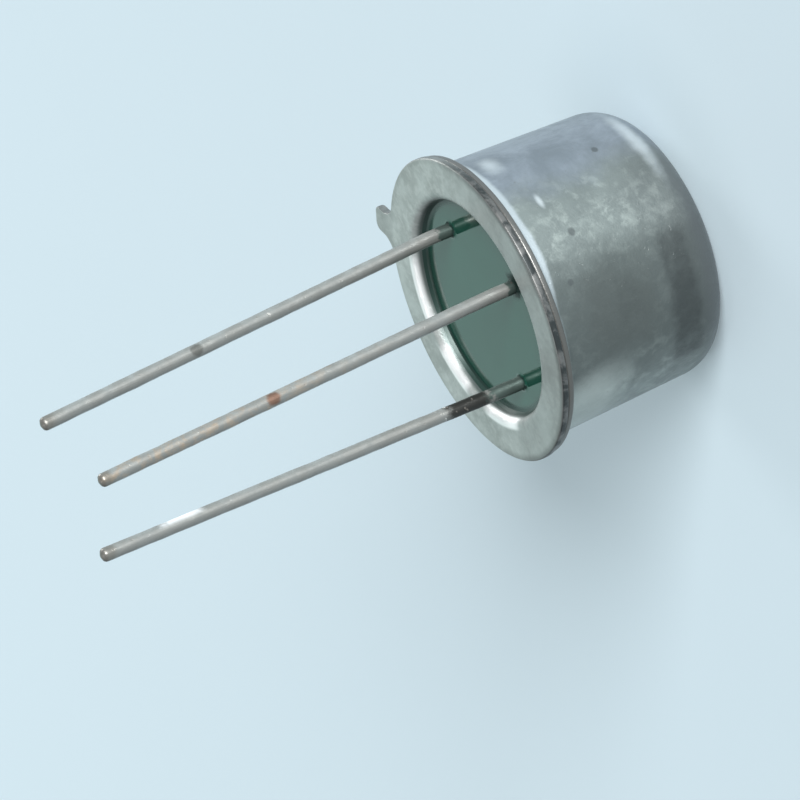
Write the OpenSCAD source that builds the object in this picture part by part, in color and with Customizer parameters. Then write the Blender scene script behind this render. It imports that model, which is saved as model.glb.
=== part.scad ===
// Small-signal transistor in a round metal can with three glass-sealed wire leads.
// Frame: the closed end of the can is at z = 0 and the leads point along +Z.
// The emitter lead is at +X, the base lead at -Y, the collector lead at -X.

/* [Can] */
// Height from the closed end of the can to the lead side of the header flange
body_h = 6.2; // [5.8:0.05:6.6]
// Diameter of the can just below its flange
can_base_d = 8.43; // [8:0.01:8.5]
// Taper of the can wall: how much smaller its radius is at the closed end
can_taper = 0.16; // [0.02:0.01:0.3]
// Thickness of the drawn sheet of the can
can_wall = 0.2; // [0.15:0.01:0.25]
// Outer radius of the rounded corner at the closed end
can_corner_r = 1.08; // [0.7:0.02:1.4]
// Radius of the hollow corner between the can wall and its flange
can_fillet_r = 0.22; // [0.12:0.01:0.26]
// Width of the flat ring of the can flange, beyond its hollow corner
can_flange_w = 0.165; // [0.12:0.005:0.25]

/* [Header] */
// Width by which the header flange stands out beyond the can flange
flange_lap = 0.05; // [0.02:0.01:0.1]
// Thickness of the stamped sheet of the header
header_t = 0.22; // [0.18:0.01:0.26]
// Depth of the header cup, from its lead side to the face that carries the chip
header_depth = 1.7; // [1.4:0.05:2]
// Gap between the header cup and the can wall round it
cup_gap = 0.485; // [0.4:0.005:0.7]
// Radius of the rounded lip between the flange and the cup
lip_r = 0.3; // [0.28:0.01:0.34]
// Outer radius of the bend between the cup wall and the cup floor
cup_bend_r = 0.36; // [0.3:0.01:0.45]
// Rounding of the sheared outer edges of both flanges
edge_r = 0.05; // [0.02:0.01:0.08]

/* [Index tab] */
// Width of the index tab
tab_w = 0.8; // [0.71:0.01:0.86]
// Length of the index tab beyond the flange
tab_l = 0.84; // [0.74:0.01:1.1]
// Radius of the hollow corners where the tab leaves the flange
tab_root_r = 0.55; // [0.3:0.01:0.6]
// Radius of the two outer corners of the tab
tab_tip_r = 0.22; // [0.05:0.01:0.3]
// Angle of the tab round the can, from the emitter lead
tab_angle = 43; // [40:1:50]

/* [Glass seal] */
// Depth of the glass below the lead side of the flange
glass_recess = 0.38; // [0.34:0.01:0.5]
// Radius of the hollow edge of glass that climbs the cup wall
rim_meniscus_r = 0.12; // [0.05:0.01:0.2]
// Radius of the hollow collar of glass that climbs each lead
lead_meniscus_r = 0.14; // [0.05:0.01:0.2]
// Diameter of the glass-filled holes in the cup floor for the emitter and base leads
floor_hole_d = 1.1; // [0.8:0.02:1.4]

/* [Leads] */
// Diameter of the circle that the three leads stand on
pin_circle_d = 4.84; // [4.6:0.02:5.1]
// Diameter of each lead
lead_d = 0.41; // [0.4:0.005:0.5]
// Length of the leads beyond the lead side of the flange
lead_l = 13.4; // [12.7:0.1:19]
// Length of the slight bend of each lead as it leaves the flange
lead_bend_l = 0.6; // [0.3:0.05:1.5]
// Bevel of the cut end of each lead
lead_bevel = 0.05; // [0.02:0.01:0.1]
// Height of the emitter and base posts above the cup floor, inside the can
post_h = 0.75; // [0.5:0.05:1]
// Diameter of the pressed head on the inner end of each post
post_head_d = 0.7; // [0.55:0.01:0.9]
// Thickness of the pressed head of each post
post_head_t = 0.16; // [0.1:0.01:0.3]
// Angle by which the emitter lead leans, towards the collector side
emitter_lean = 2.6; // [0.5:0.1:4]
// Angle by which the base lead leans, towards the collector side
base_lean = 2; // [0.5:0.1:4]
// Angle by which the collector lead leans, towards the emitter side
collector_lean = 1; // [0.5:0.1:4]

/* [Chip] */
// Side of the square silicon chip
chip_w = 0.9; // [0.6:0.05:1.2]
// Thickness of the chip
chip_t = 0.2; // [0.12:0.01:0.3]
// Margin of the gold preform beyond each side of the chip
preform_margin = 0.1; // [0.04:0.01:0.2]
// Thickness of the gold preform under the chip
preform_t = 0.03; // [0.02:0.005:0.05]
// Thickness of the metal pads on the chip
pad_t = 0.01; // [0.005:0.005:0.02]
// Side of each square pad on the chip
pad_w = 0.24; // [0.16:0.02:0.3]
// Gap between the two pads
pad_gap = 0.1; // [0.06:0.02:0.2]

/* [Bond wires] */
// Diameter of the bond wires
wire_d = 0.04; // [0.03:0.005:0.05]
// Height of the top of the wire loops above the post heads
loop_h = 0.3; // [0.15:0.05:0.5]
// Diameter of the flattened ball at each end of a bond wire
ball_d = 0.12; // [0.08:0.01:0.16]
// Thickness of the flattened ball
ball_t = 0.05; // [0.03:0.01:0.08]

/* [Hidden] */
$fn = 96;
small_fn = 48;
// Overlap of shapes that are cut or joined within one piece
eps = 0.01;

can_base_r = can_base_d / 2;
can_top_r = can_base_r - can_taper;
can_flange_r = can_base_r + can_fillet_r + can_flange_w;
flange_r = can_flange_r + flange_lap;
// The glass fills the header cup, which stands inside the can wall
cup_outer_r = can_base_r - can_wall - cup_gap;
cup_r = cup_outer_r - header_t;
// The can flange lies against the back of the header flange
can_h = body_h - header_t;
can_flange_z = can_h - can_wall;
// Floor of the header cup: lead side, and the inside face that carries the chip
floor_z = body_h - header_depth + header_t;
deck_z = body_h - header_depth;
glass_z = body_h - glass_recess;

pin_circle_r = pin_circle_d / 2;
lead_r = lead_d / 2;
post_end_z = deck_z - post_h;
emitter_angle = 0;
base_angle = -90;
collector_angle = 180;
tab_reach = flange_r + tab_l;

preform_w = chip_w + 2 * preform_margin;
chip_z = deck_z - preform_t;
pad_z = chip_z - chip_t;
pad_top_z = pad_z - pad_t;
pad_offset = (pad_w + pad_gap) / 2;

// Quarter of a ring in the first quadrant, for bends of sheet metal
module quarter_ring(outer, inner) {
    difference() {
        intersection() {
            circle(outer);
            square(outer);
        }
        circle(inner);
    }
}

// Strip of sheet from radius r1 to r2 whose outer end is rounded
module rounded_strip(r1, r2, t, r) {
    translate([r1, 0])
        square([r2 - r - r1, t]);
    translate([r2 - 2 * r, r])
        square([2 * r, t - 2 * r]);
    for (y = [r, t - r])
        translate([r2 - r, y])
            circle(r, $fn = small_fn);
}

// Drawn cup: closed end, rounded corner, slightly tapering wall and turned-out flange
module can() {
    corner_x = can_top_r - can_corner_r;
    fillet_x = can_base_r + can_fillet_r;
    fillet_z = can_flange_z - can_fillet_r;
    color("silver")
    rotate_extrude() {
        square([corner_x + eps, can_wall]);
        translate([corner_x, can_corner_r])
            mirror([0, 1])
                quarter_ring(can_corner_r, can_corner_r - can_wall);
        polygon([
            [can_top_r - can_wall, can_corner_r - eps],
            [can_top_r, can_corner_r - eps],
            [can_base_r, fillet_z + eps],
            [can_base_r - can_wall, fillet_z + eps]
        ]);
        translate([fillet_x, fillet_z])
            mirror([1, 0])
                quarter_ring(can_fillet_r + can_wall, can_fillet_r);
        translate([0, can_flange_z])
            rounded_strip(fillet_x - eps, can_flange_r, can_wall, edge_r);
    }
}

// Outline of the tab, with rounded tip corners and hollow corners at its root
module tab_outline() {
    root_x = tab_w / 2 + tab_root_r;
    root_y = sqrt(pow(flange_r + tab_root_r, 2) - pow(root_x, 2));
    touch = flange_r / (flange_r + tab_root_r);
    inner_y = flange_r - tab_root_r;
    translate([-tab_w / 2, inner_y])
        square([tab_w, tab_reach - tab_tip_r - inner_y]);
    translate([-tab_w / 2 + tab_tip_r, inner_y])
        square([tab_w - 2 * tab_tip_r, tab_reach - inner_y]);
    for (side = [-1, 1]) {
        translate([side * (tab_w / 2 - tab_tip_r), tab_reach - tab_tip_r])
            circle(tab_tip_r, $fn = small_fn);
        difference() {
            polygon([
                [side * (tab_w / 2 - eps), root_y],
                [side * root_x * touch, root_y * touch],
                [side * (tab_w / 2 - eps), inner_y]
            ]);
            translate([side * root_x, root_y])
                circle(tab_root_r, $fn = small_fn);
        }
    }
}

// Profile of the stamped header, with y as the depth below its lead side
module header_profile() {
    bend_x = cup_outer_r - cup_bend_r;
    bend_y = header_depth - cup_bend_r;
    rounded_strip(cup_r + lip_r - eps, flange_r, header_t, edge_r);
    translate([cup_r + lip_r, lip_r])
        mirror([1, 0])
            mirror([0, 1])
                quarter_ring(lip_r, lip_r - header_t);
    translate([cup_r, lip_r - eps])
        square([header_t, bend_y - lip_r + 2 * eps]);
    translate([bend_x, bend_y])
        quarter_ring(cup_bend_r, cup_bend_r - header_t);
    translate([0, header_depth - header_t])
        square([bend_x + eps, header_t]);
}

// Place on the pin circle of the lead at that angle round the can
function lead_place(angle) = pin_circle_r * [cos(angle), sin(angle), 0];

module at_lead(angle) {
    translate(lead_place(angle))
        children();
}

module floor_holes(d, margin) {
    for (angle = [emitter_angle, base_angle])
        at_lead(angle)
            translate([0, 0, deck_z - margin])
                cylinder(d = d, h = header_t + 2 * margin, $fn = small_fn);
}

// Stamped header: flange with its index tab, rounded lip and cup with two holes in the floor
module header_shell() {
    color("lightgray")
    difference() {
        union() {
            translate([0, 0, body_h])
                mirror([0, 0, 1])
                    rotate_extrude()
                        header_profile();
            rotate([0, 0, tab_angle - 90])
                translate([0, 0, can_h])
                    linear_extrude(header_t)
                        tab_outline();
        }
        floor_holes(floor_hole_d, eps);
    }
}

// Profile of the glass in the cup, with y as the height above the cup floor
module glass_profile() {
    depth = glass_z - floor_z;
    bend_r = cup_bend_r - header_t;
    difference() {
        union() {
            translate([0, bend_r])
                square([cup_r, depth + rim_meniscus_r - bend_r]);
            square([cup_r - bend_r, depth]);
            translate([cup_r - bend_r, bend_r])
                circle(bend_r, $fn = small_fn);
        }
        translate([0, depth])
            square([cup_r - rim_meniscus_r, 2 * rim_meniscus_r]);
        translate([cup_r - rim_meniscus_r, depth + rim_meniscus_r])
            circle(rim_meniscus_r, $fn = small_fn);
    }
}

// Hollow collar of glass round one lead
module lead_meniscus() {
    rotate_extrude()
        difference() {
            translate([0, -eps])
                square([lead_r + lead_meniscus_r, lead_meniscus_r + eps]);
            translate([lead_r + lead_meniscus_r, lead_meniscus_r])
                circle(lead_meniscus_r, $fn = small_fn);
        }
}

// Glass that fills the header cup and holds the leads
module glass_seal() {
    color([0.38, 0.52, 0.46])
    difference() {
        union() {
            translate([0, 0, floor_z])
                rotate_extrude()
                    glass_profile();
            translate([0, 0, deck_z])
                for (angle = [emitter_angle, base_angle])
                    at_lead(angle)
                        cylinder(d = floor_hole_d, h = header_t + eps, $fn = small_fn);
            for (angle = [emitter_angle, base_angle, collector_angle])
                at_lead(angle)
                    translate([0, 0, glass_z])
                        lead_meniscus();
        }
        for (angle = [emitter_angle, base_angle])
            at_lead(angle)
                translate([0, 0, deck_z - eps])
                    cylinder(r = lead_r, h = header_depth, $fn = small_fn);
        at_lead(collector_angle)
            translate([0, 0, floor_z - eps])
                cylinder(r = lead_r, h = header_depth, $fn = small_fn);
    }
}

// Round wire from start_z out through the glass, with a slight bend above the flange
// by which it leans towards -X
module lead_wire(start_z, lean) {
    straight = lead_l - lead_bend_l;
    lead_bend_r = lead_bend_l * 180 / (PI * lean);
    translate([0, 0, start_z])
        cylinder(r = lead_r, h = body_h - start_z, $fn = small_fn);
    translate([-lead_bend_r, 0, body_h])
        rotate([90, 0, 0]) {
            rotate_extrude(angle = lean, $fn = small_fn)
                translate([lead_bend_r, 0])
                    circle(lead_r, $fn = small_fn);
            rotate([0, 0, lean])
                translate([lead_bend_r, 0, 0])
                    rotate([-90, 0, 0]) {
                        cylinder(r = lead_r, h = straight - lead_bevel, $fn = small_fn);
                        translate([0, 0, straight - lead_bevel])
                            cylinder(r1 = lead_r, r2 = lead_r - lead_bevel, h = lead_bevel,
                                     $fn = small_fn);
                    }
        }
}

// Pressed head on the inner end of a post, which the bond wire is welded to
module post_head() {
    translate([0, 0, post_end_z])
        cylinder(d = post_head_d, h = post_head_t, $fn = small_fn);
}

module emitter_lead() {
    color("darkgray")
    at_lead(emitter_angle) {
        lead_wire(post_end_z, emitter_lean);
        post_head();
    }
}

module base_lead() {
    color("darkgray")
    at_lead(base_angle) {
        lead_wire(post_end_z, base_lean);
        post_head();
    }
}

// The collector lead stops at the cup floor, which it is welded to
module collector_lead() {
    color("darkgray")
    at_lead(collector_angle)
        mirror([1, 0, 0])
            lead_wire(floor_z, collector_lean);
}

// Plate centred on the axis, from height z down towards the closed end
module deck_plate(w, z, t) {
    translate([-w / 2, -w / 2, z - t])
        cube([w, w, t]);
}

module chip() {
    color("dimgray")
    deck_plate(chip_w, chip_z, chip_t);
}

module gold_preform() {
    color("gold")
    deck_plate(preform_w, deck_z, preform_t);
}

module emitter_pad() {
    color("gainsboro")
    translate([pad_offset, 0, 0])
        deck_plate(pad_w, pad_z, pad_t);
}

module base_pad() {
    color("gainsboro")
    translate([-pad_offset, 0, 0])
        deck_plate(pad_w, pad_z, pad_t);
}

wire_sides = 8;
wire_steps = 14;

// Point and direction on a loop from a to c that rises towards b
function loop_point(a, b, c, t) = (1 - t) * (1 - t) * a + 2 * t * (1 - t) * b + t * t * c;
function loop_heading(a, b, c, t) = 2 * (1 - t) * (b - a) + 2 * t * (c - b);
function unit(v) = v / norm(v);

// Round wire along the loop, with ends closed, in the upright plane through a and c
module loop_wire(a, b, c) {
    across = unit(cross(c - a, [0, 0, 1]));
    rings = [
        for (i = [0 : wire_steps])
            let (t = i / wire_steps,
                 p = loop_point(a, b, c, t),
                 n = cross(unit(loop_heading(a, b, c, t)), across))
            for (k = [0 : wire_sides - 1])
                let (q = 360 * k / wire_sides)
                p + wire_d / 2 * (cos(q) * across + sin(q) * n)
    ];
    sides = [
        for (i = [0 : wire_steps - 1])
            for (k = [0 : wire_sides - 1])
                let (m = (k + 1) % wire_sides, s = i * wire_sides)
                [s + k, s + m, s + wire_sides + m, s + wire_sides + k]
    ];
    first = [for (k = [wire_sides - 1 : -1 : 0]) k];
    last = [for (k = [0 : wire_sides - 1]) wire_steps * wire_sides + k];
    polyhedron(points = rings, faces = concat(sides, [first, last]), convexity = 4);
}

// Bond wire from a pad to a post head, with a flattened ball at each end
module bond_wire(pad_x, post) {
    inset = ball_t / 2;
    start = [pad_x, 0, pad_top_z - inset];
    finish = [post[0], post[1], post_end_z - inset];
    top = [(start[0] + finish[0]) / 2, (start[1] + finish[1]) / 2,
           post_end_z - inset - 2 * loop_h];
    color("goldenrod") {
        loop_wire(start, top, finish);
        for (foot = [[pad_x, 0, pad_top_z], [post[0], post[1], post_end_z]])
            translate(foot - [0, 0, ball_t])
                cylinder(d = ball_d, h = ball_t, $fn = small_fn);
    }
}

module emitter_bond_wire() {
    bond_wire(pad_offset, lead_place(emitter_angle));
}

module base_bond_wire() {
    bond_wire(-pad_offset, lead_place(base_angle));
}

can();
header_shell();
glass_seal();
emitter_lead();
base_lead();
collector_lead();
chip();
gold_preform();
emitter_pad();
base_pad();
emitter_bond_wire();
base_bond_wire();
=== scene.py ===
# %% [markdown]
# # A pnp transistor in a round metal can
#
# The part stands on the closed end of its can with three wire leads pointing up.
# The construction comes ready made from the imported model, which is loaded first and
# never moved. This script gives each visible piece a finer mesh, a worn finish with some
# painted shade and painted highlights, and then soft light and a camera at the angle
# of the photograph.

# %% Load the fixed frame
import math

import bmesh
import bpy
from mathutils import Matrix, Vector, noise


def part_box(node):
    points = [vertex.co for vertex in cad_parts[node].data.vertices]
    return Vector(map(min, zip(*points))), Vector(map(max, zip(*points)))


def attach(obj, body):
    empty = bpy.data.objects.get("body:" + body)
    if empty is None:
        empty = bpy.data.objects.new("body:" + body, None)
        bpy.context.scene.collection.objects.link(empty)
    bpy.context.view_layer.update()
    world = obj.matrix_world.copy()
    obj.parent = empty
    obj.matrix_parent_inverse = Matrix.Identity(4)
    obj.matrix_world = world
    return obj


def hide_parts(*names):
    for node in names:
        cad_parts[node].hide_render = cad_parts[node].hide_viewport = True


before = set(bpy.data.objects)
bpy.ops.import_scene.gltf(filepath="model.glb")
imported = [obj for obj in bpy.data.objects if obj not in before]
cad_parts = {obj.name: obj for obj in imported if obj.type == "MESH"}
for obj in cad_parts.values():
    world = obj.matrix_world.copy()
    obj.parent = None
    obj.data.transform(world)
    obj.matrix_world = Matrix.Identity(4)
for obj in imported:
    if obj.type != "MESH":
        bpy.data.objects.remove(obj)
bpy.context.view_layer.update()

MM = 0.001
BODY = "root"
print("nodes in the frame:", sorted(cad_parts))

# %% [markdown]
# ## Sizes
#
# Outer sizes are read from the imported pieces, so the skins always fit them. The
# sheet, bend and edge sizes of the stampings can't be read from a box, so they are
# named here in millimetres, as a drawing of such a part would give them.

# %% Read the outer sizes and name the inner ones
def top_of(node):
    """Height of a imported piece's highest corner, in millimetres."""
    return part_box(node)[1][2] / MM


def base_of(node):
    """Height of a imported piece's lowest corner, in millimetres."""
    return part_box(node)[0][2] / MM


body_h = top_of("header_shell")
can_h = top_of("can")
flange_r = -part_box("header_shell")[0][0] / MM
can_flange_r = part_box("can")[1][0] / MM
deck_z = base_of("header_shell")
header_t = body_h - can_h

can_base_r = 8.43 / 2
can_top_r = 8.11 / 2
can_wall = 0.2
can_corner_r = 1.08
can_fillet_r = 0.22
cup_r = 6.62 / 2
lip_r = 0.3
cup_bend_r = 0.36
edge_r = 0.06
tab_w = 0.8
tab_l = 0.84
tab_root_r = 0.55
tab_tip_r = 0.22
tab_angle = math.radians(43)
glass_recess = 0.38
meniscus_r = 0.13
floor_hole_r = 0.55
pin_circle_r = 4.84 / 2
lead_r = 0.205
post_head_r = 0.35
post_head_t = 0.16
floor_z = deck_z + header_t
glass_z = body_h - glass_recess
print(f"can {2 * can_base_r:.2f} x {can_h:.2f} mm, flange {2 * flange_r:.2f} mm across")

# %% Name the leads' places and leans
LEADS = {
    "emitter_lead": {"x": pin_circle_r, "y": 0.0, "lean": math.radians(-2.6)},
    "base_lead": {"x": 0.0, "y": -pin_circle_r, "lean": math.radians(-2.0)},
    "collector_lead": {"x": -pin_circle_r, "y": 0.0, "lean": math.radians(1.0)},
}
lead_bend_l = 0.6
lead_straight = 12.8


def on_lead(node, z):
    """Centre of a lead at a height above the flange, in millimetres."""
    lead = LEADS[node]
    away = max(0.0, z - body_h - lead_bend_l / 2)
    return (lead["x"] + away * math.tan(lead["lean"]), lead["y"], z)


def near_side(node, z):
    """Point on the side of a lead that the camera sees, in millimetres."""
    x, y, height = on_lead(node, z)
    return (x, y - lead_r, height)


print("lead tips at", [tuple(round(v, 2) for v in on_lead(node, top_of(node))) for node in LEADS])

# %% [markdown]
# ## Camera
#
# The photograph looks at the lead side of the header from a low angle, with the
# leads running to the lower left. That is a camera about 22 degrees above the
# flange, a little to the left of the base lead, and rolled by well over a quarter
# turn. A long lens from a fifth of a metre away gives the nearly parallel sides.

# %% Place the camera
VIEW_AZIMUTH = math.radians(-4.2)
VIEW_ELEVATION = math.radians(22.03)
VIEW_ROLL = math.radians(-113.38)
VIEW_DISTANCE = 202.2
VIEW_OFFSET = (4.674, 3.645)
VIEW_TARGET = Vector((0, 0, 3.235))
LENS = 316.7

across = Vector((math.cos(VIEW_AZIMUTH), math.sin(VIEW_AZIMUTH), 0))
back = Vector((
    math.sin(VIEW_AZIMUTH) * math.cos(VIEW_ELEVATION),
    -math.cos(VIEW_AZIMUTH) * math.cos(VIEW_ELEVATION),
    math.sin(VIEW_ELEVATION),
))
upward = back.cross(across)
picture_x = math.cos(VIEW_ROLL) * across + math.sin(VIEW_ROLL) * upward
picture_y = -math.sin(VIEW_ROLL) * across + math.cos(VIEW_ROLL) * upward
eye = VIEW_TARGET - VIEW_OFFSET[0] * picture_x - VIEW_OFFSET[1] * picture_y + VIEW_DISTANCE * back

camera_data = bpy.data.cameras.new("camera")
camera_data.lens = LENS
camera_data.sensor_width = 36
camera_data.clip_start = 0.01
camera = bpy.data.objects.new("camera", camera_data)
turn = Matrix((picture_x, picture_y, back)).transposed().to_4x4()
camera.matrix_world = Matrix.Translation(eye * MM) @ turn
bpy.context.collection.objects.link(camera)
bpy.context.scene.camera = camera
print("camera at", [round(c, 1) for c in eye], "mm")

# %% [markdown]
# ## Small helpers for trees of nodes
#
# Geometry and shader trees are built in code here. One short helper keeps that
# readable: it adds a node and fills its inputs, each with a number or with a link
# from another node's socket. The rest of the helpers are built on it.

# %% Helpers for node trees
def join(tree, source, target):
    """Links an output socket to an input socket."""
    tree.links.new(source, target)


def add(tree, kind, values=None, **settings):
    """Adds a node, with settings as attributes. Values are numbers or sockets, by input name or number."""
    made = tree.nodes.new(kind)
    for key, value in settings.items():
        setattr(made, key, value)
    for key, value in (values or {}).items():
        if isinstance(value, bpy.types.NodeSocket):
            join(tree, value, made.inputs[key])
        else:
            made.inputs[key].default_value = value
    return made


def math_node(tree, operation, first, second=0.0, third=0.0):
    """Adds a Math node. Each value is a number or a socket to link."""
    return add(tree, "ShaderNodeMath", {0: first, 1: second, 2: third}, operation=operation).outputs[0]


def scaled(tree, vector, share):
    """A vector times a number."""
    return add(tree, "ShaderNodeVectorMath", {0: vector, "Scale": share}, operation="SCALE").outputs[0]


def through_tree(tree, name, points, values):
    """Runs a chain of edges between points through a tree, into a plain mesh object."""
    chain = bpy.data.meshes.new(name + "_chain")
    chain.from_pydata(points, [(i, i + 1) for i in range(len(points) - 1)], [])
    source = bpy.data.objects.new(name + "_chain", chain)
    bpy.context.collection.objects.link(source)
    modifier = source.modifiers.new("tree", "NODES")
    modifier.node_group = tree
    for item in tree.interface.items_tree:
        if item.in_out == "INPUT" and item.name in values:
            modifier[item.identifier] = values[item.name]
    graph = bpy.context.evaluated_depsgraph_get()
    mesh = bpy.data.meshes.new_from_object(source.evaluated_get(graph))
    mesh.name = name
    made = bpy.data.objects.new(name, mesh)
    bpy.context.collection.objects.link(made)
    bpy.data.objects.remove(source)
    return made


def finish_mesh(piece, sharp_degrees=32):
    """Closes seams and poles, points faces outwards and shades smoothly up to an angle."""
    work = bmesh.new()
    work.from_mesh(piece.data)
    bmesh.ops.remove_doubles(work, verts=work.verts, dist=0.0005 * MM)
    bmesh.ops.recalc_face_normals(work, faces=work.faces)
    work.to_mesh(piece.data)
    work.free()
    piece.data.shade_smooth()
    piece.data.set_sharp_from_angle(angle=math.radians(sharp_degrees))
    print(f"{piece.name}: {len(piece.data.polygons)} faces")


# %% [markdown]
# ## A tree that revolves a profile
#
# The can and the glass are turned shapes: one outline swept once round the axis.
# A Screw modifier could do it, but a Geometry Nodes tree also lets the surface be
# uneven by a few hundredths of a millimetre, as pressed sheet always is, so the
# reflections break up a little. The profile comes in as a chain of edges, the
# circle is the path, and Curve to Mesh sweeps one along the other.

# %% Build the revolving tree
def geometry_tree(name, inputs):
    """A Geometry Nodes tree with a geometry input, inputs by name and type, and one output."""
    tree = bpy.data.node_groups.new(name, "GeometryNodeTree")
    tree.interface.new_socket("Geometry", in_out="INPUT", socket_type="NodeSocketGeometry")
    for socket_name, kind in inputs.items():
        tree.interface.new_socket(socket_name, in_out="INPUT", socket_type="NodeSocket" + kind)
    tree.interface.new_socket("Geometry", in_out="OUTPUT", socket_type="NodeSocketGeometry")
    return tree, add(tree, "NodeGroupInput"), add(tree, "NodeGroupOutput")


def close_tree(tree, start, end, geometry):
    """Ends a tree with Realize Instances and Set Material."""
    real = add(tree, "GeometryNodeRealizeInstances", {"Geometry": geometry})
    paint = add(tree, "GeometryNodeSetMaterial",
                {"Geometry": real.outputs[0], "Material": start.outputs["Material"]})
    join(tree, paint.outputs[0], end.inputs["Geometry"])


def uneven(tree, geometry, depth, size):
    """Moves a surface in and out along its normals by a soft noise of that depth."""
    wave = add(tree, "ShaderNodeTexNoise", {"Scale": size, "Detail": 2.0, "Roughness": 0.5})
    amount = math_node(tree, "MULTIPLY", math_node(tree, "SUBTRACT", wave.outputs[0], 0.5), depth)
    shift = scaled(tree, add(tree, "GeometryNodeInputNormal").outputs[0], amount)
    return add(tree, "GeometryNodeSetPosition", {"Geometry": geometry, "Offset": shift}).outputs[0]


def revolving_tree():
    """Sweeps a profile round a circle: profile x is radius minus ring radius, y is minus z."""
    tree, start, end = geometry_tree("revolve", {
        "Ring radius": "Float", "Segments": "Int", "Dent depth": "Float", "Dent density": "Float",
        "Material": "Material",
    })
    given = start.outputs
    outline = add(tree, "GeometryNodeMeshToCurve", {0: given["Geometry"]})
    ring = add(tree, "GeometryNodeCurvePrimitiveCircle",
               {"Radius": given["Ring radius"], "Resolution": given["Segments"]})
    sweep = add(tree, "GeometryNodeCurveToMesh",
                {"Curve": ring.outputs[0], "Profile Curve": outline.outputs[0]})
    weld = add(tree, "GeometryNodeMergeByDistance", {"Geometry": sweep.outputs[0], "Distance": 0.0005 * MM})
    close_tree(tree, start, end, uneven(tree, weld.outputs[0], given["Dent depth"], given["Dent density"]))
    return tree


REVOLVE = revolving_tree()


def revolved(name, profile, segments, dent_depth, dent_density, material):
    """A turned piece from a profile of (radius, height) points in millimetres."""
    ring_r = flange_r
    points = [((r - ring_r) * MM, -z * MM, 0) for r, z in profile]
    piece = through_tree(REVOLVE, name, points, {
        "Ring radius": ring_r * MM,
        "Segments": segments,
        "Dent depth": dent_depth * MM,
        "Dent density": dent_density / MM,
        "Material": material,
    })
    finish_mesh(piece)
    return piece


def arc(centre, radius, first, last, steps=10):
    """Points on an arc, with angles in degrees from +radius towards +height."""
    angles = [math.radians(first + (last - first) * i / steps) for i in range(steps + 1)]
    return [(centre[0] + radius * math.cos(a), centre[1] + radius * math.sin(a)) for a in angles]


# %% [markdown]
# ## Shared finishes
#
# All the metal here has aged in the same ways, so each kind of wear is one shader
# group with named inputs: cloudy tarnish, fine speckle, and drawn lines along a
# direction. Each puts out a mask or a height, and each material decides what
# colour, roughness or bump it makes of them. All read Object coordinates, which
# stay still on the part from every view.

# %% Shader groups for wear
def shader_group(name, inputs, outputs):
    """A shader group with number inputs at default values and number outputs."""
    tree = bpy.data.node_groups.new(name, "ShaderNodeTree")
    for socket_name, value in inputs:
        socket = tree.interface.new_socket(socket_name, in_out="INPUT", socket_type="NodeSocketFloat")
        socket.default_value = value
    for socket_name in outputs:
        tree.interface.new_socket(socket_name, in_out="OUTPUT", socket_type="NodeSocketFloat")
    return tree, add(tree, "NodeGroupInput"), add(tree, "NodeGroupOutput")


def ramp_between(tree, value, low, high):
    """0 below low and 1 above high, with a smooth step between. low and high may be sockets."""
    return add(tree, "ShaderNodeMapRange", {"Value": value, "From Min": low, "From Max": high},
               interpolation_type="SMOOTHSTEP").outputs[0]


def object_place(tree):
    """The place on the part, in metres."""
    return add(tree, "ShaderNodeTexCoord").outputs["Object"]


def noise_at(tree, place, scale, **values):
    """A noise from 0 to 1 at a place."""
    named = {key.capitalize(): value for key, value in values.items()}
    return add(tree, "ShaderNodeTexNoise", {"Vector": place, "Scale": scale, **named}).outputs[0]


def tarnish_group():
    """Cloudy patches. Coverage 0 is clean, 1 is covered."""
    tree, start, end = shader_group(
        "cloudy tarnish", [("Scale", 500.0), ("Coverage", 0.5), ("Softness", 0.15)], ["Mask"])
    given = start.outputs
    cloud = noise_at(tree, object_place(tree), given["Scale"], detail=6.0, roughness=0.62, distortion=0.4)
    middle = math_node(tree, "SUBTRACT", 1.0, given["Coverage"])
    low = math_node(tree, "SUBTRACT", middle, given["Softness"])
    high = math_node(tree, "ADD", middle, given["Softness"])
    join(tree, ramp_between(tree, cloud, low, high), end.inputs["Mask"])
    return tree


def speckle_group():
    """Fine dots of dirt and corrosion, and a height for the pits under them."""
    tree, start, end = shader_group(
        "fine speckle", [("Scale", 4000.0), ("Amount", 0.3)], ["Mask", "Height"])
    grain = noise_at(tree, object_place(tree), start.outputs["Scale"], detail=3.0, roughness=0.7)
    limit = math_node(tree, "SUBTRACT", 0.78, math_node(tree, "MULTIPLY", start.outputs["Amount"], 0.4))
    mask = ramp_between(tree, grain, limit, math_node(tree, "ADD", limit, 0.12))
    join(tree, mask, end.inputs["Mask"])
    join(tree, math_node(tree, "SUBTRACT", grain, mask), end.inputs["Height"])
    return tree


def drawn_lines_group():
    """Fine lines left by drawing or rubbing, stretched along the part's axis."""
    tree, start, end = shader_group(
        "drawn lines", [("Scale", 9000.0), ("Stretch", 0.04)], ["Height"])
    stretch = add(tree, "ShaderNodeCombineXYZ", {"X": 1.0, "Y": 1.0, "Z": start.outputs["Stretch"]})
    squeeze = add(tree, "ShaderNodeVectorMath", {0: object_place(tree), 1: stretch.outputs[0]},
                  operation="MULTIPLY")
    line = noise_at(tree, squeeze.outputs[0], start.outputs["Scale"], detail=2.0, roughness=0.6)
    join(tree, line, end.inputs["Height"])
    return tree


TARNISH = tarnish_group()
SPECKLE = speckle_group()
DRAWN_LINES = drawn_lines_group()
print("shader groups:", [tree.name for tree in (TARNISH, SPECKLE, DRAWN_LINES)])
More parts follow.
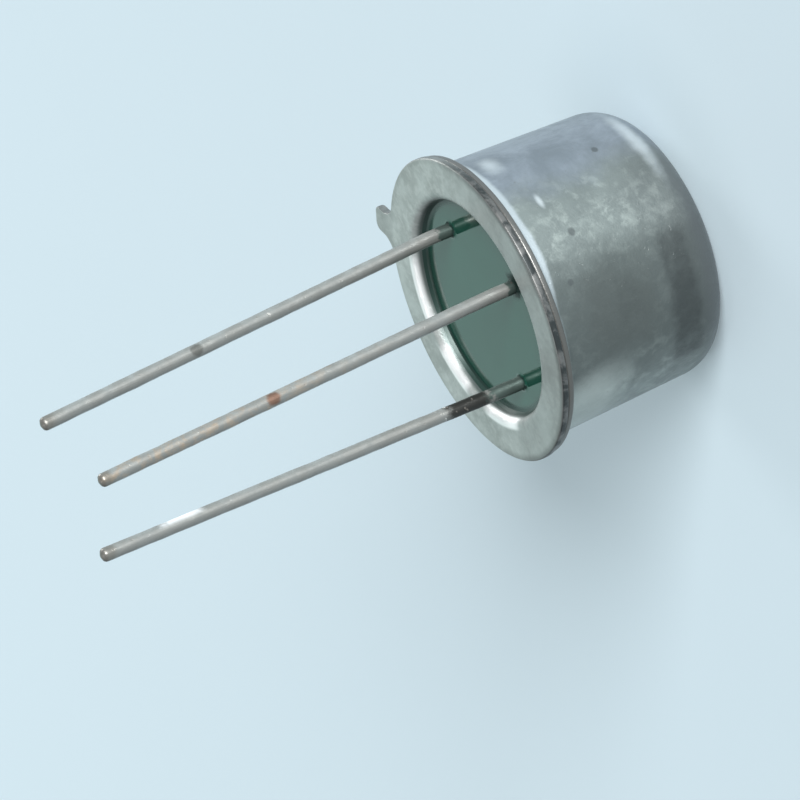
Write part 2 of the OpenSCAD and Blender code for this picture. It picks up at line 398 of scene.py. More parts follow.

# %% [markdown]
# ## Building a material
#
# Every material below is a Principled BSDF fed by those groups. These helpers add a
# group, mix two colours by a mask, and read height or angle on the part, so that
# painted highlights can lie in the groove, painted shade on one side, and dirt near
# the tips.

# %% Helpers for materials
def new_material(name, metallic, roughness):
    """An empty material with a Principled BSDF. Returns the material, its tree and shader."""
    material = bpy.data.materials.new(name)
    material.use_nodes = True
    tree = material.node_tree
    shader = tree.nodes["Principled BSDF"]
    shader.inputs["Metallic"].default_value = metallic
    shader.inputs["Roughness"].default_value = roughness
    return material, tree, shader


def wear(tree, group, **values):
    """Places a shared group in a material, with its own values."""
    made = add(tree, "ShaderNodeGroup", node_tree=group)
    for key, value in values.items():
        made.inputs[key.replace("_", " ").capitalize()].default_value = value
    return made


def cloudy(tree, scale, coverage, softness):
    """The mask of the cloudy tarnish, with these values."""
    return wear(tree, TARNISH, scale=scale, coverage=coverage, softness=softness).outputs["Mask"]


def blend_colours(tree, mask, first, second):
    """first where mask is 0, second where it is 1. Colours are RGB or sockets."""
    made = add(tree, "ShaderNodeMix", data_type="RGBA", clamp_factor=True)
    join(tree, mask, made.inputs["Factor"])
    for socket_name, value in (("A", first), ("B", second)):
        socket = next(s for s in made.inputs if s.name == socket_name and s.type == "RGBA")
        if isinstance(value, tuple):
            socket.default_value = (*value, 1.0)
        else:
            join(tree, value, socket)
    return next(s for s in made.outputs if s.type == "RGBA")


def coat(tree, metal, colour, mask, share=1.0):
    """Lays a colour over the metal where the mask is 1, at a share of its full strength."""
    return blend_colours(tree, mask if share == 1.0 else both(tree, mask, share), metal, colour)


def both(tree, first, second):
    """Two masks, or a mask and a strength, multiplied."""
    return math_node(tree, "MULTIPLY", first, second)


def place_on_part(tree):
    """Sockets for x, y, z and the distance from the axis, all in metres."""
    x, y, z = add(tree, "ShaderNodeSeparateXYZ", {0: object_place(tree)}).outputs
    square = math_node(tree, "ADD", both(tree, x, x), both(tree, y, y))
    return x, y, z, math_node(tree, "SQRT", square)


def side(tree, degrees):
    """How far the surface faces a direction round the axis: 1 facing it, -1 facing away."""
    normal = add(tree, "ShaderNodeTexCoord").outputs["Normal"]
    way = (math.cos(math.radians(degrees)), math.sin(math.radians(degrees)), 0)
    return add(tree, "ShaderNodeVectorMath", {0: normal, 1: way}, operation="DOT_PRODUCT").outputs["Value"]


def turn_from(tree, degrees):
    """Angle in radians round the axis between a place and a direction, the same on both sides."""
    x, y, _, radius = place_on_part(tree)
    along = math_node(tree, "MULTIPLY_ADD", x, math.cos(math.radians(degrees)),
                      both(tree, y, math.sin(math.radians(degrees))))
    return math_node(tree, "ARCCOSINE", math_node(tree, "DIVIDE", along, radius))


def ragged(tree, value, scale, amount):
    """Adds noise to a value, so that the edge of a mask made from it isn't even."""
    wave = noise_at(tree, object_place(tree), scale, detail=4.0, roughness=0.6)
    return math_node(tree, "MULTIPLY_ADD", math_node(tree, "SUBTRACT", wave, 0.5), amount, value)


def sector(tree, degrees, outside, inside, noise_scale=0.0, waver=0.0):
    """1 within an angle of a direction round the axis, 0 past a wider one. Angles in degrees."""
    turn_by = turn_from(tree, degrees)
    if waver:
        turn_by = ragged(tree, turn_by, noise_scale, waver)
    return ramp_between(tree, turn_by, math.radians(outside), math.radians(inside))


def patch(tree, centre_z, centre_degrees, half_z, half_degrees, inner=0.6):
    """A ragged patch on the can wall, centred on a height in mm and an angle."""
    z = place_on_part(tree)[2]
    up = math_node(tree, "DIVIDE", math_node(tree, "SUBTRACT", z, centre_z * MM), half_z * MM)
    turn_by = math_node(tree, "DIVIDE", turn_from(tree, centre_degrees), math.radians(half_degrees))
    far = math_node(tree, "SQRT", math_node(tree, "ADD", both(tree, up, up), both(tree, turn_by, turn_by)))
    return ramp_between(tree, ragged(tree, far, 1100.0, 1.3), 1.85 - inner, inner)


def spot(tree, centre, half_width, half_height, soft=0.3):
    """A ragged spot round a point in mm."""
    away = add(tree, "ShaderNodeVectorMath", {0: object_place(tree), 1: Vector(centre) * MM},
               operation="SUBTRACT")
    halves = Vector((half_width, half_width, half_height)) * MM
    share = add(tree, "ShaderNodeVectorMath", {0: away.outputs[0], 1: halves}, operation="DIVIDE")
    far = add(tree, "ShaderNodeVectorMath", {0: share.outputs[0]}, operation="LENGTH").outputs["Value"]
    return ramp_between(tree, ragged(tree, far, 5000.0, 0.9), 1 + soft, 1 - soft)


def bump(tree, shader, height, strength, depth_mm):
    """Feeds a height to the shader's normal."""
    made = add(tree, "ShaderNodeBump", {"Height": height, "Strength": strength, "Distance": depth_mm * MM})
    join(tree, made.outputs[0], shader.inputs["Normal"])


# %% [markdown]
# ## Can metal
#
# The can is drawn steel with a dull nickel skin. One side has a painted bluish
# reflection, the middle is pale and finely speckled, and towards the other side painted
# shade makes it greyer, with a smudge. Near the flange on that side lies a painted
# lighter zone, and painted shade darkens the closed end and its rounded corner. The wall
# has a few dark, cloudy places, dark marks and a few painted highlights, and the hollow
# corner at the flange carries a painted highlight too. Each of these is a mask by angle
# and height with a ragged edge, laid over the shared wear.

# %% The can's finish
# Dark, cloudy places: height in mm, angle, half height and half angle, then the share
# of the place that is covered, and strength
DARK_PLACES = [
    ((1.55, -125, 0.6, 33), 0.62, 0.62),
    ((3.35, -108, 0.55, 18), 0.42, 0.26),
    ((3.30, -153, 0.45, 8), 0.42, 0.26),
]
# Marks on the can wall, the smudge, dark marks and painted highlights: height in mm, angle, half height in
# mm and half angle
SMUDGE = (3.7, -118, 1.3, 20)
CAN_DARK_MARKS = [(4.25, -81, 0.12, 1.8), (4.95, -99, 0.1, 1.5), (2.1, -50, 0.09, 1.6)]
CAN_PAINTED_HIGHLIGHTS = [(0.85, -50, 0.22, 19), (4.95, -35, 0.3, 7), (4.6, -64, 0.08, 3)]
HIGHLIGHT_CORE = 0.2
CAN_COLOURS = {
    "clean": (0.23, 0.26, 0.248), "cloudy": (0.165, 0.19, 0.183), "blotch": (0.36, 0.40, 0.375),
    "blue": (0.29, 0.325, 0.37), "dark blue": (0.185, 0.215, 0.243), "blue blotch": (0.135, 0.155, 0.178),
    "shade": (0.078, 0.09, 0.086), "pale": (0.50, 0.54, 0.51), "end shade": (0.085, 0.095, 0.095),
    "grime": (0.14, 0.15, 0.14), "smudge": (0.09, 0.10, 0.095), "mark": (0.08, 0.09, 0.09),
    "corner": (0.13, 0.14, 0.145), "groove_highlight": (0.52, 0.57, 0.59), "bright": (0.66, 0.71, 0.73),
    "rim": (0.10, 0.095, 0.085), "dark place": (0.04, 0.045, 0.045),
}


def dark_place(tree, place, coverage):
    """A dark, cloudy place with a ragged, soft border."""
    centre_z, centre_degrees, half_z, half_degrees = place
    z = place_on_part(tree)[2]
    off = math_node(tree, "ABSOLUTE", math_node(tree, "SUBTRACT", z, centre_z * MM))
    high = ramp_between(tree, ragged(tree, off, 1600.0, 0.5 * MM), half_z * MM, (half_z - 0.3) * MM)
    wide = sector(tree, centre_degrees, half_degrees, half_degrees - 6, 1600.0, 0.25)
    return both(tree, both(tree, high, wide), cloudy(tree, 1500.0, coverage, 0.3))


def can_wall_colour(tree, cloud, grime):
    """The wall's colour: a painted reflection, painted shade, a painted lighter zone, grime, a smudge, dark
    places and marks.
    """
    colours = CAN_COLOURS
    z = place_on_part(tree)[2]
    blotch = cloudy(tree, 2400.0, 0.42, 0.12)
    metal = blend_colours(tree, cloud, colours["clean"], colours["cloudy"])
    metal = coat(tree, metal, colours["blotch"], blotch, 0.55)
    # Painted reflection: a bluish sheen laid on one side of the wall.
    bluish_reflection = blend_colours(tree, cloud, colours["blue"], colours["dark blue"])
    bluish_reflection = coat(tree, bluish_reflection, colours["blue blotch"], blotch, 0.35)
    metal = coat(tree, metal, bluish_reflection, sector(tree, 25, 92, 74, 500.0, 0.5), 0.88)
    # Painted shade: the wall darker towards one side.
    metal = coat(tree, metal, colours["shade"], sector(tree, -120, 42, 16, 600.0, 0.5), 0.75)
    # Painted light: a paler zone near the flange on one side.
    pale = both(tree, sector(tree, -160, 26, 8, 600.0, 0.4),
                ramp_between(tree, ragged(tree, z, 900.0, 1.2 * MM), 3.2 * MM, 4.4 * MM))
    metal = coat(tree, metal, colours["pale"], pale, 0.6)
    # Painted shade: darker towards the closed end on one side.
    end_shade = both(tree, ramp_between(tree, ragged(tree, z, 900.0, 1.0 * MM), 3.0 * MM, 1.2 * MM),
                   sector(tree, -110, 70, 40))
    metal = coat(tree, metal, colours["end shade"], end_shade, 0.5)
    metal = coat(tree, metal, colours["grime"], grime, 0.5)
    metal = coat(tree, metal, colours["smudge"], patch(tree, *SMUDGE), 0.65)
    for place, coverage, strength in DARK_PLACES:
        metal = coat(tree, metal, colours["dark place"], dark_place(tree, place, coverage), strength)
    for mark in CAN_DARK_MARKS:
        metal = coat(tree, metal, colours["mark"], patch(tree, *mark), 0.7)
    # Painted shade on the rounded corner of the closed end, on one side.
    corner_shade = both(tree, ramp_between(tree, z, 1.1 * MM, 0.5 * MM), sector(tree, -125, 80, 45))
    return coat(tree, metal, colours["corner"], corner_shade, 0.6)


def painted_groove_highlight(tree):
    """The hollow corner at the flange, a painted highlight, brightest at the front."""
    z = place_on_part(tree)[2]
    front = sector(tree, -52, 60, 32)
    highlight_strength = math_node(tree, "MULTIPLY_ADD", front, 0.44, 0.38)
    groove_z = can_h - can_wall - 1.05 * can_fillet_r
    band_low = math_node(tree, "MULTIPLY_ADD", front, -0.2 * MM, groove_z * MM)
    band_high = math_node(tree, "ADD", band_low, 0.14 * MM)
    return both(tree, highlight_strength, ramp_between(tree, ragged(tree, z, 1200.0, 0.12 * MM), band_low, band_high))


def can_material():
    material, tree, shader = new_material("can_metal", 0.62, 0.4)
    radius = place_on_part(tree)[3]
    cloud = cloudy(tree, 600.0, 0.5, 0.2)
    dots = wear(tree, SPECKLE, scale=7500.0, amount=0.34)
    pits = wear(tree, SPECKLE, scale=2600.0, amount=0.14)
    lines = wear(tree, DRAWN_LINES, scale=9000.0, stretch=0.05)
    grime = math_node(tree, "MAXIMUM", dots.outputs["Mask"], pits.outputs["Mask"])
    metal = can_wall_colour(tree, cloud, grime)
    groove_highlight = painted_groove_highlight(tree)
    # Painted highlight along the hollow corner at the flange.
    metal = coat(tree, metal, CAN_COLOURS["groove_highlight"], groove_highlight)
    # Painted highlights on the wall and the rounded corner.
    for mark in CAN_PAINTED_HIGHLIGHTS:
        metal = coat(tree, metal, CAN_COLOURS["bright"], patch(tree, *mark, HIGHLIGHT_CORE), 0.55)
    rim = ramp_between(tree, radius, (can_flange_r - 0.12) * MM, (can_flange_r - 0.05) * MM)
    join(tree, coat(tree, metal, CAN_COLOURS["rim"], rim, 0.9), shader.inputs["Base Color"])

    rough = math_node(tree, "MULTIPLY_ADD", cloud, 0.1, 0.36)
    join(tree, math_node(tree, "SUBTRACT", rough, both(tree, groove_highlight, 0.08)), shader.inputs["Roughness"])
    pitted = math_node(tree, "ADD", dots.outputs["Height"], both(tree, pits.outputs["Height"], 1.5))
    bump(tree, shader, math_node(tree, "MULTIPLY_ADD", lines.outputs["Height"], 0.5, pitted), 0.4, 0.02)
    return material


CAN_METAL = can_material()

# %% [markdown]
# ## Header metal
#
# The header's flat ring is matt and mottled, with painted shade towards one side and
# along its outer border, and painted highlights on the lip. Its sheared edge is dark and
# stained, with painted shade laid on more strongly on the shaded side, and the wall of
# the recess is darkened with painted shade. The sheared edge is found by the way it
# faces: away from the axis, not along it.

# %% The header's finish
# Painted highlights on the lip: angle and half angle
LIP_HIGHLIGHTS = [(152, 15), (66, 17), (108, 12)]
HEADER_COLOURS = {
    "clean": (0.46, 0.49, 0.475), "cloudy": (0.33, 0.36, 0.345), "fine": (0.56, 0.59, 0.57),
    "dots": (0.2, 0.2, 0.18), "shaded": (0.22, 0.24, 0.235), "border": (0.13, 0.14, 0.135),
    "edge": (0.14, 0.14, 0.135), "edge stain": (0.03, 0.035, 0.035), "shine": (0.97, 0.98, 0.97),
    "recess_shade": (0.06, 0.085, 0.08),
}


def header_material():
    material, tree, shader = new_material("header_metal", 0.6, 0.42)
    colours = HEADER_COLOURS
    *_, z, radius = place_on_part(tree)
    cloud = cloudy(tree, 900.0, 0.5, 0.16)
    fine = cloudy(tree, 3600.0, 0.45, 0.1)
    dots = wear(tree, SPECKLE, scale=6500.0, amount=0.36)
    metal = blend_colours(tree, cloud, colours["clean"], colours["cloudy"])
    metal = coat(tree, metal, colours["fine"], fine, 0.4)
    metal = coat(tree, metal, colours["dots"], dots.outputs["Mask"], 0.4)

    # Painted shade: the ring darker towards one side, and darker along its outer border, most on that side.
    ragged_radius = ragged(tree, radius, 1500.0, 0.14 * MM)
    border = ramp_between(tree, ragged_radius, (flange_r - 0.26) * MM, (flange_r - 0.04) * MM)
    shaded = sector(tree, -122, 100, 62)
    metal = coat(tree, metal, colours["shaded"], shaded, 0.5)
    dull = math_node(tree, "MULTIPLY_ADD", shaded, 0.6, 0.2)
    metal = coat(tree, metal, colours["border"], both(tree, border, dull))
    normal = add(tree, "ShaderNodeSeparateXYZ", {0: add(tree, "ShaderNodeTexCoord").outputs["Normal"]})
    upright = ramp_between(tree, math_node(tree, "ABSOLUTE", normal.outputs[2]), 0.85, 0.5)
    sheared = both(tree, upright, ramp_between(tree, radius, (flange_r - 0.3) * MM, (flange_r - 0.2) * MM))
    edge = blend_colours(tree, cloudy(tree, 1800.0, 0.5, 0.1), colours["edge"], colours["edge stain"])
    # The stain on the sheared edge is laid on more strongly on the shaded side: partly stain, partly painted
    # shade.
    dark = math_node(tree, "MULTIPLY_ADD", shaded, 0.35, 0.62)
    metal = coat(tree, metal, edge, both(tree, sheared, dark))
    lip = both(tree, ramp_between(tree, radius, (cup_r + lip_r + 0.12) * MM, (cup_r + lip_r) * MM),
               ramp_between(tree, z, (body_h - 0.25) * MM, (body_h - 0.12) * MM))
    # Painted highlights on the rounded lip.
    for highlight_degrees, half_degrees in LIP_HIGHLIGHTS:
        near = sector(tree, highlight_degrees, half_degrees * 1.3, half_degrees * 0.7, 2500.0, 0.1)
        metal = coat(tree, metal, colours["shine"], both(tree, lip, near), 0.95)
    # Painted shade on the wall of the recess.
    recess_shade = both(tree, ramp_between(tree, radius, (cup_r + 0.14) * MM, (cup_r + 0.05) * MM),
                  ramp_between(tree, z, (body_h - 0.06) * MM, (body_h - 0.2) * MM))
    join(tree, coat(tree, metal, colours["recess_shade"], recess_shade, 0.85), shader.inputs["Base Color"])
    join(tree, math_node(tree, "MULTIPLY_ADD", cloud, 0.1, 0.38), shader.inputs["Roughness"])
    beaded = both(tree, both(tree, lip, fine), 1.5)
    grain = math_node(tree, "ADD", dots.outputs["Height"], cloud)
    bump(tree, shader, math_node(tree, "ADD", grain, beaded), 0.3, 0.015)
    return material


HEADER_METAL = header_material()

# %% [markdown]
# ## Lead metal
#
# The leads are scuffed, pale on one side and darkened by painted shade on the other,
# with a painted light strip along the far edge. Where each one leaves the glass it
# wears a thin green film of it. The middle lead is brownish, with a rust spot, the
# emitter lead has one dark spot, and the collector lead has a dark flux stain near the
# header and a pale solder patch near its tip, laid only on the lit side, so that it is
# partly a painted highlight.

# %% The leads' finish
FILM_TOPS = {"emitter_lead": 6.35, "base_lead": 6.15, "collector_lead": 7.1}
DARK_SPOT_Z = 14.49
RUST_SPOT_Z = 13.94
FLUX_Z = 7.66
FLUX_HALF = 0.78
SOLDER_Z = 17.0
LEAD_COLOURS = {
    "clean": (0.36, 0.375, 0.36), "cloudy": (0.26, 0.268, 0.252), "dots": (0.19, 0.17, 0.14),
    "grime": (0.19, 0.19, 0.178), "below": (0.55, 0.56, 0.55), "brownish": (0.36, 0.26, 0.17),
    "rust": (0.17, 0.10, 0.07), "dark spot": (0.10, 0.10, 0.09), "flux": (0.02, 0.02, 0.018),
    "solder": (0.95, 0.95, 0.95), "tip": (0.16, 0.15, 0.13), "film": (0.055, 0.085, 0.075),
    "in the glass": (0.02, 0.04, 0.033),
}


def lead_material():
    material, tree, shader = new_material("lead_metal", 0.6, 0.42)
    colours = LEAD_COLOURS
    _, y, z, _ = place_on_part(tree)
    cloud = cloudy(tree, 1500.0, 0.5, 0.16)
    dots = wear(tree, SPECKLE, scale=7000.0, amount=0.42)
    lines = wear(tree, DRAWN_LINES, scale=9000.0, stretch=0.04)
    metal = blend_colours(tree, cloud, colours["clean"], colours["cloudy"])
    metal = coat(tree, metal, colours["dots"], dots.outputs["Mask"], 0.45)
    lit = ramp_between(tree, side(tree, -14), 0.35, 0.95)
    # Painted shade: one side of each lead is darkened with the grime colour.
    under = ragged(tree, side(tree, 166), 3000.0, 0.3)
    shaded_side = both(tree, ramp_between(tree, under, -1.2, -0.1), ramp_between(tree, under, 0.97, 0.72))
    metal = coat(tree, metal, colours["grime"], shaded_side, 0.78)
    # Painted light: a pale strip along the far edge of the shaded side.
    metal = coat(tree, metal, colours["below"], ramp_between(tree, side(tree, 166), 0.75, 0.98), 0.6)

    middle = both(tree, ramp_between(tree, y, -1.6 * MM, -2.0 * MM), ramp_between(tree, z, 9 * MM, 16 * MM))
    rusty = both(tree, middle, cloudy(tree, 2600.0, 0.45, 0.12))
    metal = coat(tree, metal, colours["brownish"], rusty, 0.55)
    metal = coat(tree, metal, colours["rust"], spot(tree, near_side("base_lead", RUST_SPOT_Z), 0.2, 0.2))
    dark_spot = spot(tree, near_side("emitter_lead", DARK_SPOT_Z), 0.2, 0.18)
    metal = coat(tree, metal, colours["dark spot"], dark_spot, 0.8)
    flux = spot(tree, on_lead("collector_lead", FLUX_Z), 0.45, FLUX_HALF, 0.2)
    metal = coat(tree, metal, colours["flux"], flux, 0.95)
    # Solder patch, laid only on the lit side: partly solder, partly painted highlight.
    solder = spot(tree, on_lead("collector_lead", SOLDER_Z), 0.4, 0.7)
    metal = coat(tree, metal, colours["solder"], both(tree, solder, lit), 0.9)
    tips = ramp_between(tree, ragged(tree, z, 2500.0, 0.3 * MM), 19.1 * MM, 19.35 * MM)
    metal = coat(tree, metal, colours["tip"], tips, 0.7)
    for node, film_top in FILM_TOPS.items():
        film = spot(tree, on_lead(node, glass_z), 0.5, film_top - glass_z, 0.12)
        metal = coat(tree, metal, colours["film"], film, 0.9)
    sunk = ramp_between(tree, z, (glass_z + 0.12) * MM, (glass_z + 0.02) * MM)
    join(tree, coat(tree, metal, colours["in the glass"], sunk), shader.inputs["Base Color"])
    join(tree, math_node(tree, "MULTIPLY_ADD", cloud, 0.15, 0.38), shader.inputs["Roughness"])
    scuffs = math_node(tree, "MULTIPLY_ADD", dots.outputs["Height"], 0.6, lines.outputs["Height"])
    bump(tree, shader, scuffs, 0.45, 0.02)
    return material


LEAD_METAL = lead_material()

# %% [markdown]
# ## Seal glass
#
# Sealing glass is cloudy with fine bubbles, so it looks like a solid green body with
# a clear, shiny skin. That is a Principled BSDF with a dark green base, little
# transmission and a smooth surface. It mirrors the sky at this low angle, and the
# leads cut dark streaks out of that mirror image, as they do in the photograph.

# %% The glass's finish
GLASS_COLOURS = {
    "deep": (0.007, 0.056, 0.037), "cloudy": (0.011, 0.069, 0.047), "bubble": (0.07, 0.15, 0.12),
    "rim": (0.012, 0.022, 0.020), "entry": (0.008, 0.022, 0.018),
}


def glass_material():
    material, tree, shader = new_material("seal_glass", 0.0, 0.07)
    colours = GLASS_COLOURS
    radius = place_on_part(tree)[3]
    bubbles = wear(tree, SPECKLE, scale=9000.0, amount=0.2)
    tint = blend_colours(tree, cloudy(tree, 450.0, 0.5, 0.3), colours["deep"], colours["cloudy"])
    tint = coat(tree, tint, colours["bubble"], bubbles.outputs["Mask"], 0.3)
    # Painted shade: the glass darker near the cup wall, at the edge of the recess.
    rim = ramp_between(tree, radius, (cup_r - 0.3) * MM, (cup_r - 0.08) * MM)
    tint = coat(tree, tint, colours["rim"], rim, 0.8)
    # Painted shade round each lead where it enters the glass, wider round the base lead, where it also
    # stands for dirt under its crumbs.
    entry = spot(tree, on_lead("base_lead", glass_z), 0.4, 0.5)
    for node in ("emitter_lead", "collector_lead"):
        entry = math_node(tree, "MAXIMUM", entry, spot(tree, on_lead(node, glass_z), 0.24, 0.5, 0.1))
    join(tree, coat(tree, tint, colours["entry"], entry), shader.inputs["Base Color"])
    dull = math_node(tree, "MAXIMUM", both(tree, rim, 0.3), both(tree, entry, 0.4))
    join(tree, math_node(tree, "ADD", dull, 0.07), shader.inputs["Roughness"])
    join(tree, math_node(tree, "MULTIPLY_ADD", entry, -0.35, 0.5), shader.inputs["Specular IOR Level"])
    shader.inputs["IOR"].default_value = 1.6
    shader.inputs["Specular Tint"].default_value = (0.84, 1.0, 0.95, 1.0)
    shader.inputs["Transmission Weight"].default_value = 0.1
    return material


SEAL_GLASS = glass_material()

# %% [markdown]
# ## The can
#
# The real can is one drawn cup: a flat closed end, a rounded corner, a wall that
# tapers by a degree or so, and a flange turned out at the mouth. Its profile runs
# from the axis outside to the axis inside, so the sweep makes a closed shell with
# the true wall, and not a bare surface.

# %% Make the can
def can_profile():
    corner = (can_top_r - can_corner_r, can_corner_r)
    flange_back = can_h - can_wall
    root = (can_base_r + can_fillet_r, flange_back - can_fillet_r)
    edge_x = can_flange_r - edge_r
    outside = [(0, 0), (corner[0] / 2, 0)]
    outside += arc(corner, can_corner_r, -90, 0, 16)
    outside += arc(root, can_fillet_r, 180, 90, 10)
    outside += arc((edge_x, flange_back + edge_r), edge_r, -90, 0, 5)
    inside = arc((edge_x, can_h - edge_r), edge_r, 0, 90, 5)
    inside += arc(root, can_fillet_r + can_wall, 90, 180, 8)
    inside += arc(corner, can_corner_r - can_wall, 0, -90, 10)
    return outside + inside + [(0, can_wall)]


can = revolved("can_skin", can_profile(), 256, 0.03, 0.35, CAN_METAL)
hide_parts("can")
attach(can, BODY)

# %% [markdown]
# ## The header
#
# The header is stamped: a flange with a small index tab, a rounded lip and a cup.
# A plain revolve can't make the tab, so the same profile is set down at many
# angles, each with its own outer radius. Round the tab those radii follow its
# outline: hollow root corners, straight sides and rounded tip corners.

# %% Outline and mesh of the header
def tab_outline():
    """(angle, radius) points of one half of the tab, from its root to its middle."""
    root_x = tab_w / 2 + tab_root_r
    root_y = math.sqrt((flange_r + tab_root_r) ** 2 - root_x ** 2)
    touch = math.degrees(math.atan2(root_y, root_x))
    reach = flange_r + tab_l
    chain = arc((root_x, root_y), tab_root_r, 180 + touch, 180, 12)
    chain += [(tab_w / 2, root_y + (reach - tab_tip_r - root_y) * i / 4) for i in range(1, 4)]
    chain += arc((tab_w / 2 - tab_tip_r, reach - tab_tip_r), tab_tip_r, 0, 90, 8)
    tip_x = tab_w / 2 - tab_tip_r
    chain += [(tip_x * i / 3, reach) for i in (2, 1)]
    return [(math.atan2(x, y), math.hypot(x, y)) for x, y in chain]


def header_outline():
    """(angle, outer radius) all round the header, finer at the tab."""
    half = tab_outline()
    tab = [(-a, r) for a, r in half] + [(0.0, flange_r + tab_l)] + [(a, r) for a, r in reversed(half)]
    start = half[0][0]
    steps = 230
    gap = (2 * math.pi - 2 * start) / steps
    rest = [(start + gap * i, flange_r) for i in range(1, steps)]
    return [(a + tab_angle, r) for a, r in tab + rest]


def header_profile(outer):
    """Points from the cup floor on the lead side, over the flange, to the chip side."""
    bend = (cup_r + header_t - cup_bend_r, deck_z + cup_bend_r)
    lip = (cup_r + lip_r, body_h - lip_r)
    edge_x = outer - edge_r
    points = [(0, floor_z)]
    points += arc(bend, cup_bend_r - header_t, -90, 0, 4)
    points += arc(lip, lip_r, 180, 90, 12)
    points += [(lip[0] + 0.02, body_h)]
    points += [(lip[0] + (edge_x - lip[0]) * i / 6, body_h) for i in range(1, 6)]
    points += [(edge_x - 0.02, body_h)]
    points += arc((edge_x, body_h - edge_r), edge_r, 90, 0, 5)
    points += arc((edge_x, can_h + edge_r), edge_r, 0, -90, 5)
    points += [(can_base_r, can_h)]
    points += arc(lip, lip_r - header_t, 90, 180, 5)
    points += arc(bend, cup_bend_r, 0, -90, 8)
    return points + [(0, deck_z)]


def header_mesh():
    """Joins the profiles set down at each angle of the outline."""
    verts = []
    faces = []
    outline = header_outline()
    for a, outer in outline:
        wobble = 0.02 * noise.noise(Vector((2.2 * math.cos(a), 2.2 * math.sin(a), 4.0)))
        for r, z in header_profile(outer):
            share = max(0.0, (r - can_base_r) / (flange_r - can_base_r))
            radius = r + min(share, 1.0) * wobble
            verts.append((radius * math.cos(a) * MM, radius * math.sin(a) * MM, z * MM))
    row = len(verts) // len(outline)
    for i in range(len(outline)):
        j = (i + 1) % len(outline)
        for k in range(row - 1):
            faces.append((i * row + k, j * row + k, j * row + k + 1, i * row + k + 1))
    mesh = bpy.data.meshes.new("header_skin")
    mesh.from_pydata(verts, [], faces)
    return mesh


def cutter(radius, x, y, low, high):
    """A round cutter for a hole, in millimetres."""
    work = bmesh.new()
    place = Matrix.Translation(Vector((x, y, (low + high) / 2)) * MM)
    bmesh.ops.create_cone(work, cap_ends=True, segments=48, radius1=radius * MM,
                          radius2=radius * MM, depth=(high - low) * MM, matrix=place)
    mesh = bpy.data.meshes.new("cutter")
    work.to_mesh(mesh)
    work.free()
    made = bpy.data.objects.new("cutter", mesh)
    bpy.context.collection.objects.link(made)
    return made


def cut_holes(piece, cutters):
    """Cuts each cutter out of the piece and removes it."""
    for tool in cutters:
        modifier = piece.modifiers.new("hole", "BOOLEAN")
        modifier.operation = "DIFFERENCE"
        modifier.solver = "EXACT"
        modifier.object = tool
    graph = bpy.context.evaluated_depsgraph_get()
    mesh = bpy.data.meshes.new_from_object(piece.evaluated_get(graph))
    piece.modifiers.clear()
    piece.data = mesh
    for tool in cutters:
        bpy.data.objects.remove(tool)


header = bpy.data.objects.new("header_skin", header_mesh())
bpy.context.collection.objects.link(header)
header.data.materials.append(HEADER_METAL)
finish_mesh(header)
cut_holes(header, [
    cutter(floor_hole_r, pin_circle_r, 0, deck_z - 0.5, floor_z + 0.5),
    cutter(floor_hole_r, 0, -pin_circle_r, deck_z - 0.5, floor_z + 0.5),
])
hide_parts("header_shell")
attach(header, BODY)

# %% [markdown]
# ## The glass seal
#
# Powdered glass is melted into the cup, where it wets the metal: it climbs the cup
# wall and each lead in a small hollow collar. The disc is revolved with many fine
# rings, and its upper surface is then lifted round each lead by the same rule,
# height against distance. The three holes are cut a hair under the lead's size, so
# that no gap shows.

# %% Make the glass
LEAD_PLACES = [(lead["x"], lead["y"]) for lead in LEADS.values()]


def hollow_rise(distance, radius):
    """Height of a hollow collar at a distance from the wall that it climbs."""
    if distance >= radius:
        return 0.0
    inner = max(distance, 0.0)
    return radius - math.sqrt(radius ** 2 - (radius - inner) ** 2)


def glass_profile():
    bend = (cup_r - cup_bend_r + header_t, floor_z + cup_bend_r - header_t)
    rings = 64
    points = [(0, floor_z)]
    points += arc(bend, cup_bend_r - header_t, -90, 0, 4)
    radii = [cup_r * (1 - i / rings) for i in range(rings + 1)]
    points += [(r, glass_z + hollow_rise(cup_r - r, meniscus_r)) for r in radii]
    return points


def lift_collars(piece):
    """Raises the upper surface round each lead."""
    for vert in piece.data.vertices:
        x, y, z = vert.co / MM
        if z < glass_z - 0.01:
            continue
        for lead_x, lead_y in LEAD_PLACES:
            distance = math.hypot(x - lead_x, y - lead_y) - lead_r
            vert.co.z += hollow_rise(distance, meniscus_r * 0.6) * MM


glass = revolved("glass_skin", glass_profile(), 192, 0.012, 0.3, SEAL_GLASS)
lift_collars(glass)
hole_r = lead_r - 0.01
cut_holes(glass, [cutter(hole_r, x, y, floor_z - 0.5, body_h) for x, y in LEAD_PLACES])
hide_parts("glass_seal")
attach(glass, BODY)

# %% [markdown]
# ## The leads
#
# A lead is round wire that follows a path, so one Geometry Nodes tree makes all
# three: it resamples the path, sweeps a circle along it, swells the inner end into
# a pressed head, rounds the cut tip and roughens the surface where pliers and
# sockets have rubbed it.

